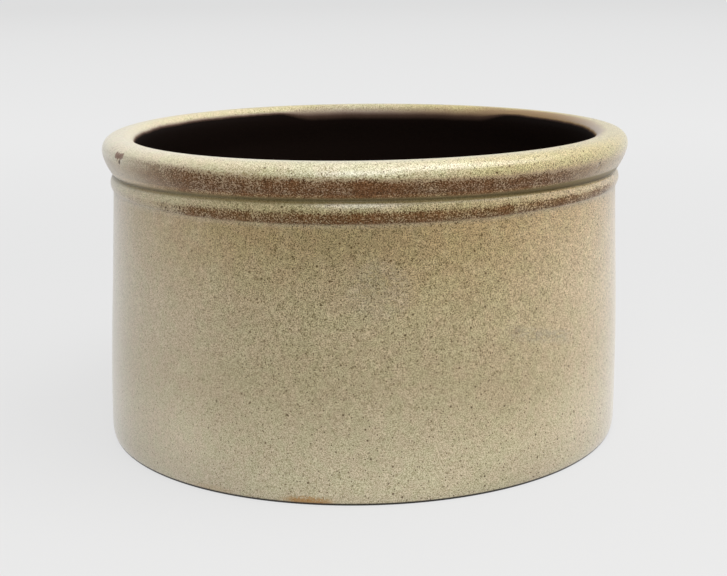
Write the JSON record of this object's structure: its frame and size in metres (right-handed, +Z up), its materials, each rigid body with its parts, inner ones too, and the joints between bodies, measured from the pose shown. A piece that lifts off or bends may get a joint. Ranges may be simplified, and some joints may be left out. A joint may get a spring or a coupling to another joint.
{
  "type": "ceramic crock fermenter",
  "caption": "Low, wide, straight-sided stoneware crock with a rolled lip, salt-glazed outside and dark-slipped inside, holding loose half-moon pressing weights.",
  "frame": {"origin": "centre of the flat base the crock stands on", "axes": "+Z up along the axis the crock was turned about; the weights' split runs along Y, with weight_left on -X and weight_right on +X"},
  "size_m": [0.298, 0.298, 0.1715],
  "materials": {
    "salt_glazed_stoneware": "satin",
    "unglazed_stoneware": "matte"
  },
  "bodies": {
    "crock": {"crock_body": "salt_glazed_stoneware"},
    "weight_left": {"weight_left": "unglazed_stoneware"},
    "weight_right": {"weight_right": "unglazed_stoneware"}
  },
  "joints": [
    {"name": "lift_weight_left", "type": "slide", "parent": "crock", "child": "weight_left", "axis": [0, 0, 1], "range_m": [0, 0.18]},
    {"name": "lift_weight_right", "type": "slide", "parent": "crock", "child": "weight_right", "axis": [0, 0, 1], "range_m": [0, 0.18]}
  ]
}
